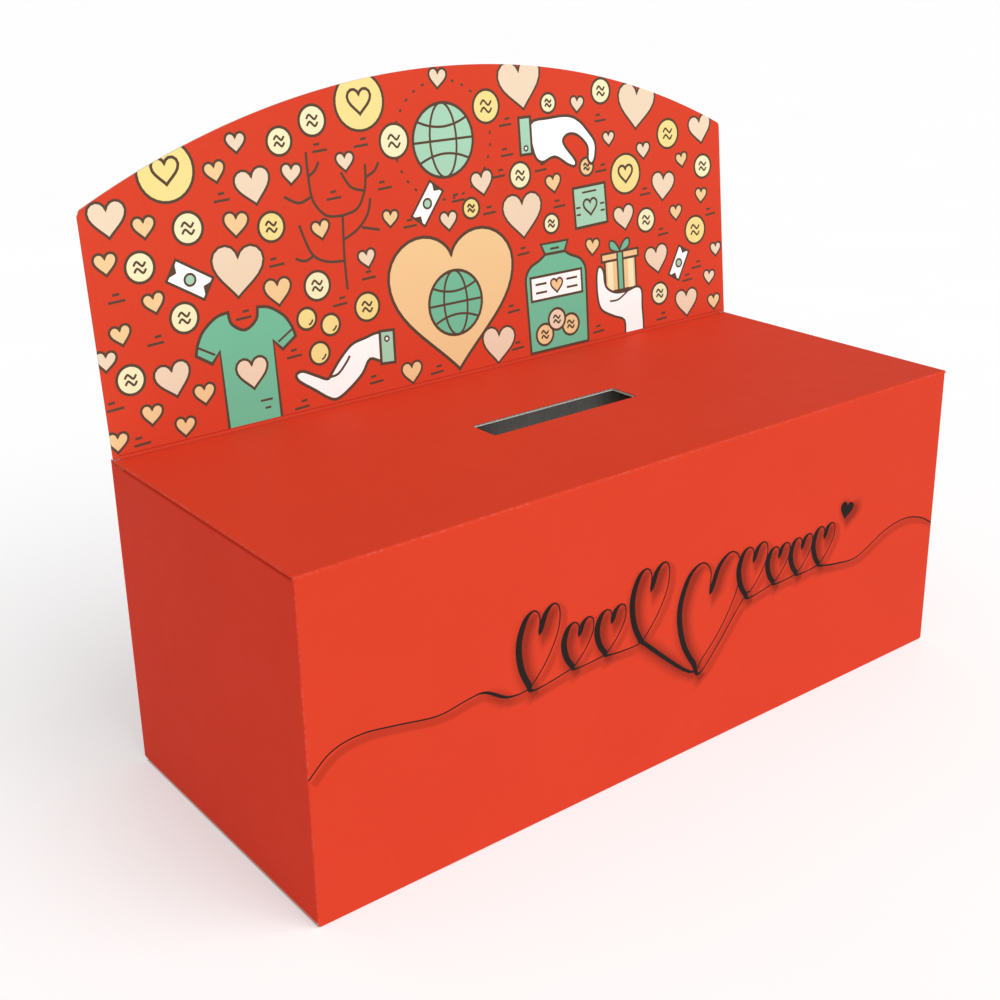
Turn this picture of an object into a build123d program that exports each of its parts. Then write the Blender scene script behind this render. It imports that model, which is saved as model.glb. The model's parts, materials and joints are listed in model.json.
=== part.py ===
from build123d import *

import math
import os

# Countertop donation box: a folded corrugated carton with a coin slot in its lid and an arched header card.
#
# Millimetres. X is the width, Y the depth (front at -Y), Z is up. The origin is the middle of the base, on
# the plane that the box stands on. The carton is a four-panel tube. The lid creases off the front panel and
# tucks in at the back. The base has four glued flaps that meet in the middle. The header card drops in behind
# the lid.

# Driving dimensions of the erected box
WIDTH = 305.0
DEPTH = 126.0
HEIGHT = 122.0
BOARD = 1.0  # micro-flute corrugated board
GAP = 0.3  # clearance between panels that move past each other
GLUE = 0.1

SLOT_LENGTH = 70.0
SLOT_WIDTH = 14.0
SLOT_Y = 1.5
SLOT_CORNER = 0.8

HEADER_SIDE = 86.0  # from the header's crease up its straight side edges
HEADER_RISE = 36.0  # height of the arch above the side edges
HEADER_LEAN = 5.0  # degrees that the header leans back from vertical
HEADER_CORNER = 1.5
ARTWORK = 0.15  # printed sheet laminated on the front of the header card

TONGUE_DEPTH = 62.0
TONGUE_HALF_WIDTH = 149.8
TONGUE_TAPER = 7.0
TONGUE_CORNER = 10.0

TUCK_LENGTH = 20.0
TUCK_HALF_WIDTH = 148.0
TUCK_LEAN = 10.0  # degrees that the tuck flap leans into the box, so that it clears the header card
TUCK_CORNER = 12.0

DUST_LENGTH = 56.0
DUST_FRONT_SETBACK = 1.0
DUST_BACK_SETBACK = 9.0
DUST_CHAMFER = 9.0
DUST_CORNER = 3.0
DUST_CUT = 1.0  # the cut between a dust flap's rear edge and its side panel

SEAM_FLAP_WIDTH = 20.0
SEAM_FLAP_BOTTOM = 6.0
SEAM_FLAP_TOP_SETBACK = 12.0
SEAM_FLAP_CHAMFER = 5.0
SEAM_CUT_SETBACK = 0.2
SEAM_GLUE_MARGIN = 4.0

BASE_CUT_SETBACK = 0.6  # the outer base flaps stop this far inside the side panels' faces
BASE_CENTRE_GAP = 0.1  # half the gap where two base flaps meet
BASE_GLUE_X = (20.0, 130.0)
BASE_GLUE_Y = (12.0, 50.0)

# Faces worked out from the driving dimensions
RIGHT = WIDTH / 2
LEFT = -RIGHT
BACK = DEPTH / 2
FRONT = -BACK
TONGUE_BACK = BACK - BOARD - GAP
TONGUE_FRONT = TONGUE_BACK - BOARD
LID_REAR = TONGUE_FRONT - ARTWORK - GAP
DUST_TOP = HEIGHT - BOARD - GAP
DUST_BOTTOM = DUST_TOP - BOARD
SEAM_FOLD_X = LEFT + 2 * BOARD + GLUE  # inner corner of the fold between back panel and seam flap
INNER_BASE_BOTTOM = BOARD + GLUE
INNER_BASE_TOP = INNER_BASE_BOTTOM + BOARD
HEADER_CREASE_Y = (TONGUE_FRONT + TONGUE_BACK) / 2
HEADER_CREASE_Z = HEIGHT + ARTWORK + BOARD / 2 + GAP
INNER_X = (LEFT + BOARD, RIGHT - BOARD)
INNER_Y = (FRONT + BOARD, BACK - BOARD)
WALL_Z = (BOARD, HEIGHT - BOARD)
SIDE_Z = (INNER_BASE_TOP, DUST_BOTTOM)
DUST_Y = (FRONT + BOARD + DUST_FRONT_SETBACK, BACK - DUST_BACK_SETBACK)

X_AXIS, Y_AXIS, Z_AXIS = (1, 0, 0), (0, 1, 0), (0, 0, 1)
HALF_FOLD = 45  # degrees of a right-angled fold that belong to each of its two panels


def block(x, y, z):
    """A box between two values on each axis."""
    size = (x[1] - x[0], y[1] - y[0], z[1] - z[0])
    return Pos(x[0], y[0], z[0]) * Box(*size, align=(Align.MIN, Align.MIN, Align.MIN))


def knuckle(corner, along, start, length):
    """Half of a fold: a 45 degree sector of one board thickness about the fold's inner corner.

    It turns by the right-hand rule about along, from the direction start.
    """
    plane = Plane(origin=corner, x_dir=start, z_dir=along)
    return Solid.make_cylinder(BOARD, length, plane, HALF_FOLD)


def direction(first, second, degrees):
    """The unit vector at an angle from the axis first towards the axis second."""
    angle = math.radians(degrees)
    return Vector(*first) * math.cos(angle) + Vector(*second) * math.sin(angle)


def fold_along_x(y, z, degrees, x_range):
    start = direction(Y_AXIS, Z_AXIS, degrees)
    return knuckle((x_range[0], y, z), X_AXIS, start, x_range[1] - x_range[0])


def fold_along_y(x, z, degrees, y_range):
    start = direction(Z_AXIS, X_AXIS, degrees)
    return knuckle((x, y_range[0], z), Y_AXIS, start, y_range[1] - y_range[0])


def fold_along_z(x, y, degrees, z_range):
    start = direction(X_AXIS, Y_AXIS, degrees)
    return knuckle((x, y, z_range[0]), Z_AXIS, start, z_range[1] - z_range[0])


def sheet(outline, plane, thickness, corner=0.0, rounded=()):
    """A flat sheet from the outline's points on a plane, with the listed corners rounded."""
    face = make_face(Polyline(*outline, close=True))
    if corner:
        picked = [face.vertices().sort_by_distance(Vector(*outline[i]))[0] for i in rounded]
        face = fillet(picked, corner)
    return extrude(plane * face, thickness)


def front_panel():
    y = (FRONT, FRONT + BOARD)
    inner_y = y[1]
    wall = block(INNER_X, y, WALL_Z)
    folds = [
        fold_along_x(inner_y, WALL_Z[1], 135, INNER_X),
        fold_along_x(inner_y, WALL_Z[0], 180, INNER_X),
        fold_along_z(INNER_X[0], inner_y, 225, WALL_Z),
        fold_along_z(INNER_X[1], inner_y, 270, WALL_Z),
    ]
    return wall + folds


def back_panel():
    x = (SEAM_FOLD_X, INNER_X[1])
    z = (BOARD, HEIGHT)
    inner_y = BACK - BOARD
    wall = block(x, (inner_y, BACK), z)
    folds = [
        fold_along_x(inner_y, BOARD, 315, x),
        fold_along_z(x[1], inner_y, 45, z),
        fold_along_z(x[0], inner_y, 90, z),
    ]
    return wall + folds


def side_wall(x, rear_y):
    """A side panel's flat part.

    Behind the dust flap it rises to just under the lid, and behind the lid to full height, where the header
    card's shoulder rests on it.
    """
    wall = block(x, (INNER_Y[0], rear_y), SIDE_Z)
    wall += block(x, (DUST_Y[1] + DUST_CUT, rear_y), (SIDE_Z[1], DUST_TOP))
    wall += block(x, (LID_REAR + GAP, rear_y), (DUST_TOP, HEIGHT))
    return wall


def left_panel():
    inner_x = LEFT + BOARD
    rear_y = BACK - SEAM_CUT_SETBACK
    folds = [
        fold_along_z(inner_x, INNER_Y[0], 180, SIDE_Z),
        fold_along_y(inner_x, DUST_BOTTOM, 270, DUST_Y),
        fold_along_y(inner_x, INNER_BASE_TOP, 225, INNER_Y),
    ]
    return side_wall((LEFT, inner_x), rear_y) + folds


def right_panel():
    inner_x = RIGHT - BOARD
    folds = [
        fold_along_z(inner_x, INNER_Y[0], 315, SIDE_Z),
        fold_along_z(inner_x, INNER_Y[1], 0, (SIDE_Z[0], HEIGHT)),
        fold_along_y(inner_x, DUST_BOTTOM, 45, DUST_Y),
        fold_along_y(inner_x, INNER_BASE_TOP, 90, INNER_Y),
    ]
    return side_wall((inner_x, RIGHT), INNER_Y[1]) + folds


def seam_glue_flap():
    """Creased off the back panel's left edge and glued inside the left panel."""
    y0, y1 = BACK - BOARD - SEAM_FLAP_WIDTH, BACK - BOARD
    z0, z1 = SEAM_FLAP_BOTTOM, HEIGHT - SEAM_FLAP_TOP_SETBACK
    outline = [
        (y1, z0),
        (y1, z1),
        (y0, z1 - SEAM_FLAP_CHAMFER),
        (y0, z0 + SEAM_FLAP_CHAMFER),
    ]
    plane = Plane(origin=(SEAM_FOLD_X - BOARD, 0, 0), x_dir=Y_AXIS, z_dir=X_AXIS)
    return sheet(outline, plane, BOARD) + fold_along_z(SEAM_FOLD_X, y1, 135, (z0, z1))


def seam_glue_strip():
    y = (BACK - BOARD - SEAM_FLAP_WIDTH + SEAM_GLUE_MARGIN, BACK - BOARD - SEAM_GLUE_MARGIN)
    z = (SEAM_FLAP_BOTTOM + SEAM_FLAP_CHAMFER, HEIGHT - SEAM_FLAP_TOP_SETBACK - SEAM_FLAP_CHAMFER)
    return block((LEFT + BOARD, LEFT + BOARD + GLUE), y, z)


def base_front_flap():
    x = (LEFT + BASE_CUT_SETBACK, RIGHT - BASE_CUT_SETBACK)
    flap = block(x, (INNER_Y[0], -BASE_CENTRE_GAP), (0, BOARD))
    return flap + fold_along_x(INNER_Y[0], BOARD, 225, INNER_X)


def base_back_flap():
    x = (LEFT + BASE_CUT_SETBACK, RIGHT - BASE_CUT_SETBACK)
    flap = block(x, (BASE_CENTRE_GAP, INNER_Y[1]), (0, BOARD))
    return flap + fold_along_x(INNER_Y[1], BOARD, 270, (SEAM_FOLD_X, INNER_X[1]))


def inner_base_flap(x):
    y = (INNER_Y[0] + GAP, INNER_Y[1] - GAP)
    return block(x, y, (INNER_BASE_BOTTOM, INNER_BASE_TOP)), y


def base_left_flap():
    flap, y = inner_base_flap((INNER_X[0], -BASE_CENTRE_GAP))
    return flap + fold_along_y(INNER_X[0], INNER_BASE_TOP, 180, y)


def base_right_flap():
    flap, y = inner_base_flap((BASE_CENTRE_GAP, INNER_X[1]))
    return flap + fold_along_y(INNER_X[1], INNER_BASE_TOP, 135, y)


def base_glue_strips():
    """Four patches of glue between the outer and inner base flaps."""
    x0, x1 = BASE_GLUE_X
    y0, y1 = BASE_GLUE_Y
    quarters = [(x, y) for x in ((-x1, -x0), (x0, x1)) for y in ((-y1, -y0), (y0, y1))]
    return Compound(children=[block(x, y, (BOARD, INNER_BASE_BOTTOM)) for x, y in quarters])


def lid_panel():
    """The top, with the coin slot. Its front edge is the crease that it opens about."""
    tuck_x = (-TUCK_HALF_WIDTH, TUCK_HALF_WIDTH)
    inner_z, fold_y = HEIGHT - BOARD, LID_REAR - BOARD
    panel = block((LEFT, RIGHT), (INNER_Y[0], fold_y), (inner_z, HEIGHT))
    panel += fold_along_x(INNER_Y[0], inner_z, 90, INNER_X)
    panel += fold_along_x(fold_y, inner_z, 45, tuck_x)
    for x in ((LEFT, -TUCK_HALF_WIDTH - GAP), (TUCK_HALF_WIDTH + GAP, RIGHT)):
        panel += block(x, (fold_y, LID_REAR), (inner_z, HEIGHT))
    slot = extrude(RectangleRounded(SLOT_LENGTH, SLOT_WIDTH, SLOT_CORNER), 2 * BOARD, both=True)
    return panel - Pos(0, SLOT_Y, HEIGHT) * slot


def lid_tuck_flap():
    """Creased off the lid's rear edge. It hangs inside the box and leans forward."""
    fold_y, fold_z = LID_REAR - BOARD, HEIGHT - BOARD
    half = TUCK_HALF_WIDTH
    outline = [(-half, 0), (half, 0), (half, -TUCK_LENGTH), (-half, -TUCK_LENGTH)]
    plane = Plane(origin=(0, BOARD, 0), x_dir=X_AXIS, z_dir=(0, -1, 0))
    flap = sheet(outline, plane, BOARD, TUCK_CORNER, (2, 3))
    flap += fold_along_x(0, 0, 0, (-half, half))
    return Pos(0, fold_y, fold_z) * Rot(-TUCK_LEAN, 0, 0) * flap


def dust_flap(side):
    """Creased off the top of a side panel; side is -1 on the left and 1 on the right."""
    root, tip = side * (RIGHT - BOARD), side * (RIGHT - BOARD - DUST_LENGTH)
    shoulder = tip + side * DUST_CHAMFER
    y0, y1 = DUST_Y
    outline = [
        (root, y0),
        (shoulder, y0),
        (tip, y0 + DUST_CHAMFER),
        (tip, y1 - DUST_CHAMFER),
        (shoulder, y1),
        (root, y1),
    ]
    flap = sheet(outline, Plane.XY.offset(DUST_BOTTOM), BOARD, DUST_CORNER, (1, 2, 3, 4))
    fold_start = 0 if side > 0 else 315
    return flap + fold_along_y(root, DUST_BOTTOM, fold_start, DUST_Y)


def header_outline(bottom):
    """The header card's face from a height above its crease: straight sides under a circular arch."""
    side, top = (RIGHT, HEADER_SIDE), (0, HEADER_SIDE + HEADER_RISE)
    arch = ThreePointArc(side, top, (-side[0], side[1]))
    rest = Polyline((-side[0], side[1]), (LEFT, bottom), (RIGHT, bottom), side)
    face = make_face([arch, rest])
    corners = face.vertices().group_by(Axis.Y)[-1]
    return fillet(corners, HEADER_CORNER)


def lean(shape):
    """Moves a shape made about the header's crease to its place, leaning back."""
    return Pos(0, HEADER_CREASE_Y, HEADER_CREASE_Z) * Rot(-HEADER_LEAN, 0, 0) * shape


def header_panel():
    card = extrude(Plane.XZ * header_outline(0), BOARD / 2, both=True)
    rolled_edge = Plane(origin=(LEFT, 0, 0), x_dir=Z_AXIS, z_dir=X_AXIS)
    card += Solid.make_cylinder(BOARD / 2, WIDTH, rolled_edge)
    return lean(card)


def header_artwork_sheet():
    plane = Plane(origin=(0, -BOARD / 2, 0), x_dir=X_AXIS, z_dir=(0, -1, 0))
    return lean(extrude(plane * header_outline(BOARD / 2), ARTWORK))


def header_insert_tongue():
    top = HEADER_CREASE_Z - BOARD / 2 - GAP / 2
    bottom = HEIGHT - TONGUE_DEPTH
    half, foot = TONGUE_HALF_WIDTH, TONGUE_HALF_WIDTH - TONGUE_TAPER
    outline = [(-half, top), (half, top), (foot, bottom), (-foot, bottom)]
    plane = Plane(origin=(0, TONGUE_BACK, 0), x_dir=X_AXIS, z_dir=(0, -1, 0))
    return sheet(outline, plane, BOARD, TONGUE_CORNER, (2, 3))


PARTS = {
    "front_panel": front_panel,
    "back_panel": back_panel,
    "left_panel": left_panel,
    "right_panel": right_panel,
    "seam_glue_flap": seam_glue_flap,
    "seam_glue_strip": seam_glue_strip,
    "base_front_flap": base_front_flap,
    "base_back_flap": base_back_flap,
    "base_left_flap": base_left_flap,
    "base_right_flap": base_right_flap,
    "base_glue_strips": base_glue_strips,
    "lid_panel": lid_panel,
    "lid_tuck_flap": lid_tuck_flap,
    "left_dust_flap": lambda: dust_flap(-1),
    "right_dust_flap": lambda: dust_flap(1),
    "header_panel": header_panel,
    "header_artwork_sheet": header_artwork_sheet,
    "header_insert_tongue": header_insert_tongue,
}

os.makedirs("parts", exist_ok=True)
for name, make in PARTS.items():
    export_step(make(), f"parts/{name}.step")
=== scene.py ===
import json
import math
from collections import namedtuple

import bpy
import numpy as np
from mathutils import Matrix, Vector
from mathutils.geometry import convex_hull_2d, delaunay_2d_cdt


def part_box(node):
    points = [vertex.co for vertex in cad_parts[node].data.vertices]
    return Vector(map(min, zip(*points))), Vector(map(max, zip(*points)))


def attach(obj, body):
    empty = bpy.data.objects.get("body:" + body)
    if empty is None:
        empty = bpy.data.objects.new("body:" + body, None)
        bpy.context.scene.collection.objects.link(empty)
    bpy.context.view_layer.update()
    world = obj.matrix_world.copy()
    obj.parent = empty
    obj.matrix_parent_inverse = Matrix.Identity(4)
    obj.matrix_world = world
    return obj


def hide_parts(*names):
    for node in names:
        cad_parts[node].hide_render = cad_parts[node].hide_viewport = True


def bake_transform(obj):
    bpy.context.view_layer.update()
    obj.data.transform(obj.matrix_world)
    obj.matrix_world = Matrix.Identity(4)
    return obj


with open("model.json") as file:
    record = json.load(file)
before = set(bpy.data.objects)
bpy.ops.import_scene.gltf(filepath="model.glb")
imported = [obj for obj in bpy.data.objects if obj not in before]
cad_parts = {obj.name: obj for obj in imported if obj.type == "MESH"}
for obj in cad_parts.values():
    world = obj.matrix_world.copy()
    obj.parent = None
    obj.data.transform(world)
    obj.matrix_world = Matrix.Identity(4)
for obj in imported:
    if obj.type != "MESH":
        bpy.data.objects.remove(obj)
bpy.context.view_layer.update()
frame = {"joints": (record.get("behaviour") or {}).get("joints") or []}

# The looks of a countertop donation box: printed corrugated board, folded and glued, with an arched header.
# Lengths are in millimetres in the CAD model's frame until a mesh is made. Angles are in degrees.

MM = 0.001
Box = namedtuple("Box", "lo hi")


def node_box(name):
    lo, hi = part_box(name)
    return Box(lo / MM, hi / MM)


LID = node_box("lid_panel")
FRONT_WALL = node_box("front_panel")
BACK_WALL = node_box("back_panel")
LEFT_WALL = node_box("left_panel")
SEAM = node_box("seam_glue_flap")
BASE_OUTER = node_box("base_front_flap")
BASE_INNER = node_box("base_left_flap")
DUST = node_box("right_dust_flap")
TUCK = node_box("lid_tuck_flap")
TONGUE = node_box("header_insert_tongue")
CREASE = {j["name"]: Vector(j["pos_m"]) / MM for j in frame["joints"] if "pos_m" in j}

BOARD = LID.hi.z - LID.lo.z
RIGHT, LEFT = LID.hi.x, LID.lo.x
FRONT, BACK = FRONT_WALL.lo.y, BACK_WALL.hi.y
HEIGHT = LID.hi.z
INNER_X = (LEFT + BOARD, RIGHT - BOARD)
INNER_Y = (FRONT + BOARD, BACK - BOARD)
DUST_FOLD_Z = CREASE["right_dust_flap_crease"].z
BASE_FOLD_Z = BASE_INNER.hi.z
SEAM_FOLD_X = SEAM.lo.x + BOARD
TUCK_FOLD = Vector((0, LID.hi.y - BOARD, HEIGHT - BOARD))
UP = Vector((0, 0, 1))
TUCK_LEAN = 10
TUCK_LENGTH = 20
TUCK_CORNER = 12
DUST_CHAMFER = 9
DUST_CORNER = 3
SEAM_CHAMFER = 5
SLOT_X = (-35, 35)
SLOT_Y = (-5.5, 8.5)
SLOT_CORNER = 0.8
TONGUE_TAPER = 7
TONGUE_CORNER = 10
TONGUE_RED = 12  # how far the red print carries on down the tongue
FOOT_RED = 4  # and up the card, under its artwork sheet
HEADER_LEAN = 5
HEADER_SIDE = 86  # from the header's crease up its straight side edges
HEADER_RISE = 36  # height of the arch above the side edges
HEADER_CORNER = 1.5
SHOULDER = -0.7  # foot of the header card beside its crease
CREASE_TOP = 0.5  # foot of the header card over its crease
CREASE_REACH = 0.75  # how far the header's crease runs up and down
ARTWORK = 0.15  # the printed sheet on the front of the header card

SLIT = 0.2  # the cut beside a dust flap
LIP = 0.3  # how far a wall stands clear of the lid's cut edges
LINER = 0.17  # each of the board's two facing sheets
MEDIUM = 0.12  # the fluted sheet between them
FLUTE_PITCH = 2.4
FLUTE_STEPS = 8
FLUTE_INSET = 0.06  # how far the flutes stop inside a cut edge
FOLD_STEPS = 4
PRESSED = 0.45  # radius at which the die presses the print over a cut edge
CRUSHED = 0.42  # board thickness left in the middle of a crease


# ---------------- colours and materials

INKS = {
    "red": (204, 65, 42),
    "line": (88, 68, 54),
    "blush": (225, 206, 179),
    "peach": (228, 196, 144),
    "green": (110, 184, 151),
    "mint": (159, 204, 177),
    "yellow": (229, 213, 138),
    "cream": (231, 228, 184),
    "white": (248, 249, 246),
    "black": (34, 28, 26),
}
CARTON_RED = (203, 59, 36)
# The sides' red is the carton red made darker and deeper: painted shade, since the real box has one red ink
# all round.
SIDES_RED_PAINTED_SHADE = (199, 50, 27)
LINE_WEIGHT = 1.2  # how much heavier than drawn the header's outlines are printed
SHADOW_SHADES = (0.97, 0.935, 0.89, 0.84, 0.785, 0.72)
for number, shade in enumerate(SHADOW_SHADES):
    INKS[f"shadow_{number}"] = tuple(shade * c for c in CARTON_RED)


def linear(rgb):
    """Linear colour from 0 to 255 sRGB values."""
    return tuple((c / 255 / 12.92) if c < 11 else ((c / 255 + 0.055) / 1.055) ** 2.4 for c in rgb)


class Nodes:
    """A material's node tree, with short ways to add and join nodes."""

    def __init__(self, name):
        self.material = bpy.data.materials.new(name)
        self.material.use_nodes = True
        self.tree = self.material.node_tree
        self.shader = self.tree.nodes["Principled BSDF"]

    def plug(self, socket, value):
        """Joins another node's output to the socket, or sets a plain value."""
        if isinstance(value, bpy.types.NodeSocket):
            self.tree.links.new(value, socket)
        else:
            socket.default_value = value

    def add(self, kind, inputs=None, **settings):
        node = self.tree.nodes.new("ShaderNode" + kind)
        for key, value in settings.items():
            setattr(node, key, value)
        for key, value in (inputs or {}).items():
            self.plug(node.inputs[key], value)
        return node

    def math(self, operation, a, b=0.0):
        return self.add("Math", {0: a, 1: b}, operation=operation).outputs[0]

    def position(self):
        return self.add("TexCoord").outputs["Object"]

    def noise(self, scale, detail=2.0, stretch=(1, 1, 1)):
        """Noise with features about 1 / scale metres across, stretched along the axes."""
        mapping = self.add("Mapping", {"Vector": self.position(), "Scale": stretch})
        noise = self.add("TexNoise", {"Vector": mapping.outputs[0], "Scale": scale, "Detail": detail})
        return noise.outputs["Fac"]

    def ramp(self, value, low, high, to_low=0.0, to_high=1.0):
        inputs = {"Value": value, "From Min": low, "From Max": high, "To Min": to_low, "To Max": to_high}
        return self.add("MapRange", inputs).outputs[0]

    def mix(self, share, a, b):
        node = self.add("Mix", data_type="RGBA")
        self.plug(node.inputs[0], share)
        for key, value in ((6, a), (7, b)):
            self.plug(node.inputs[key], (*value, 1) if isinstance(value, tuple) else value)
        return node.outputs[2]

    def set(self, **inputs):
        for key, value in inputs.items():
            self.plug(self.shader.inputs[key.replace("_", " ").title().replace("Ior", "IOR")], value)


def washboard(nodes, axis):
    """The flutes' faint ridges, showing through the liner as a wave along an axis of the board."""
    xyz = nodes.add("SeparateXYZ", {0: nodes.position()})
    turns = nodes.math("MULTIPLY", xyz.outputs[axis], 2 * math.pi / (FLUTE_PITCH * MM))
    return nodes.math("SINE", turns)


def bump(nodes, height, metres, strength=1.0, below=None):
    inputs = {"Height": height, "Distance": metres, "Strength": strength}
    if below is not None:
        inputs["Normal"] = below
    return nodes.add("Bump", inputs).outputs[0]


def fold_wear(nodes):
    """1 on the carton's folded edges, 0 on its faces. Near an edge, two distances to faces are small."""
    xyz = nodes.add("SeparateXYZ", {0: nodes.position()})
    x = nodes.math("SUBTRACT", RIGHT * MM, nodes.math("ABSOLUTE", xyz.outputs[0]))
    y = nodes.math("SUBTRACT", BACK * MM, nodes.math("ABSOLUTE", xyz.outputs[1]))
    half = HEIGHT * MM / 2
    z = nodes.math("SUBTRACT", half, nodes.math("ABSOLUTE", nodes.math("SUBTRACT", xyz.outputs[2], half)))
    either = nodes.math("MINIMUM", nodes.math("MAXIMUM", x, y), z)
    middle = nodes.math("MAXIMUM", nodes.math("MINIMUM", x, y), either)
    return nodes.ramp(middle, 0.0, 0.0009, 1.0, 0.0)


def printed(name, rgb, axis="X", wear=False):
    """Ink on coated paper over corrugated board, with a satin varnish."""
    nodes = Nodes(name)
    colour = linear(rgb)
    light = tuple(min(1.0, c * 1.01 + 0.001) for c in colour)
    dark = tuple(c * 0.985 for c in colour)
    clouds = nodes.noise(28.0, 3.0)
    grain = nodes.noise(2600.0, 2.0)
    tone = nodes.mix(nodes.ramp(clouds, 0.3, 0.7), dark, light)
    tone = nodes.mix(nodes.ramp(grain, 0.6, 0.8, 0.0, 0.18), tone, tuple(c * 0.75 for c in colour))
    if wear:
        patches = nodes.ramp(nodes.noise(900.0, 4.0), 0.48, 0.66)
        scuffs = nodes.math("MULTIPLY", fold_wear(nodes), patches)
        pale = tuple(0.55 * c + 0.3 for c in colour)
        tone = nodes.mix(nodes.math("MULTIPLY", scuffs, 0.2), tone, pale)
    roughness = nodes.ramp(nodes.noise(160.0, 3.0), 0.3, 0.7, 0.55, 0.61)
    ridges = bump(nodes, washboard(nodes, axis), 0.000006)
    fibres = bump(nodes, nodes.noise(1800.0, 3.0), 0.00003, 0.5, ridges)
    nodes.set(base_color=tone, roughness=roughness, normal=fibres, specular_ior_level=0.04)
    return nodes.material


def bare_paper(name, rgb, axis="X", stretch=(1, 1, 1)):
    """Uncoated recycled paper: soft fibres and a few darker specks."""
    nodes = Nodes(name)
    colour = linear(rgb)
    fibres = nodes.noise(700.0, 4.0, stretch)
    tone = nodes.mix(nodes.ramp(fibres, 0.3, 0.7), tuple(c * 0.86 for c in colour), colour)
    specks = nodes.ramp(nodes.noise(1500.0, 1.0), 0.72, 0.76, 0.0, 0.5)
    tone = nodes.mix(specks, tone, tuple(c * 0.45 for c in colour))
    ridges = bump(nodes, washboard(nodes, axis), 0.00002)
    rough = bump(nodes, fibres, 0.00006, 0.6, ridges)
    nodes.set(base_color=tone, roughness=0.88, normal=rough, specular_ior_level=0.2)
    return nodes.material


def dried_glue():
    nodes = Nodes("dried_glue")
    tone = nodes.mix(nodes.noise(400.0), (0.62, 0.52, 0.34), (0.78, 0.7, 0.52))
    surface = bump(nodes, nodes.noise(500.0, 3.0), 0.00008)
    nodes.set(base_color=tone, roughness=0.35, normal=surface, specular_ior_level=0.5)
    return nodes.material


LINER_GREY = (226, 223, 218)
MEDIUM_GREY = (205, 196, 184)
MATERIALS = {name: printed("print_" + name, rgb) for name, rgb in INKS.items()}
# The sides' material is a darker copy of the carton red as painted shade; its flutes also run along Y.
MATERIALS["sides_red_painted_shade"] = printed("print_sides_red_painted_shade", SIDES_RED_PAINTED_SHADE, "Y", wear=True)
MATERIALS["red_carton"] = printed("print_red_carton", CARTON_RED, "X", wear=True)
MATERIALS["liner"] = bare_paper("inner_liner", LINER_GREY, "X", (1, 1, 0.25))
MATERIALS["liner_sides"] = bare_paper("inner_liner_sides", LINER_GREY, "Y", (1, 0.25, 1))
MATERIALS["medium"] = bare_paper("fluting_medium", MEDIUM_GREY, "Z")
MATERIALS["cut"] = bare_paper("cut_paper_edge", (232, 226, 218), "Z")
MATERIALS["glue"] = dried_glue()


# ---------------- flat drawings

def circle(x, y, radius, count=28):
    turns = (2 * math.pi * i / count for i in range(count))
    return [(x + radius * math.cos(t), y + radius * math.sin(t)) for t in turns]


def arc(x, y, radius, start, stop, count=12):
    turns = (math.radians(start + (stop - start) * i / count) for i in range(count + 1))
    return [(x + radius * math.cos(t), y + radius * math.sin(t)) for t in turns]


def within(points, polygon):
    """Which of the points lie inside the polygon."""
    corners = np.array(polygon)
    low, high = corners.min(axis=0), corners.max(axis=0)
    near = np.nonzero(((points >= low) & (points <= high)).all(axis=1))[0]
    x, y = points[near, 0], points[near, 1]
    inside = np.zeros(len(near), bool)
    for (px, py), (qx, qy) in zip(corners, np.roll(corners, -1, axis=0)):
        if py != qy:
            crossed = ((py > y) != (qy > y)) & (x < px + (qx - px) * (y - py) / (qy - py))
            inside ^= crossed
    result = np.zeros(len(points), bool)
    result[near] = inside
    return result


def turned(points, x, y, degrees=0.0):
    """Points drawn about the origin, turned and moved to a place."""
    c, s = math.cos(math.radians(degrees)), math.sin(math.radians(degrees))
    return [(x + c * px - s * py, y + s * px + c * py) for px, py in points]


def smooth(points, closed=False, steps=4):
    """A Catmull-Rom curve through the points."""
    count = len(points)
    curve = []
    for i in range(count if closed else count - 1):
        around = range(i - 1, i + 3)
        near = [points[k % count if closed else min(max(k, 0), count - 1)] for k in around]
        for step in range(steps):
            t = step / steps
            weights = (
                -0.5 * t + t * t - 0.5 * t**3,
                1 - 2.5 * t * t + 1.5 * t**3,
                0.5 * t + 2 * t * t - 1.5 * t**3,
                -0.5 * t * t + 0.5 * t**3,
            )
            curve.append(tuple(sum(w * p[axis] for w, p in zip(weights, near)) for axis in (0, 1)))
    return curve if closed else curve + [points[-1]]


def ribbon(points, widths, closed=False):
    """The two sides of a stroke with a width at each point."""
    count = len(points)
    sides = []
    for i, (x, y) in enumerate(points):
        before = points[i - 1] if closed or i else points[0]
        after = points[(i + 1) % count] if closed or i < count - 1 else points[-1]
        inward = Vector((x - before[0], y - before[1]))
        outward = Vector((after[0] - x, after[1] - y))
        inward = inward.normalized() if inward.length > 1e-9 else outward.normalized()
        outward = outward.normalized() if outward.length > 1e-9 else inward
        along = inward + outward
        along = along.normalized() if along.length > 0.2 else inward
        mitre = min(1 / max(along.dot(inward), 0.1), 1.5)
        half = widths[i] / 2 * mitre
        sides.append(((x - along.y * half, y + along.x * half), (x + along.y * half, y - along.x * half)))
    return sides


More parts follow.
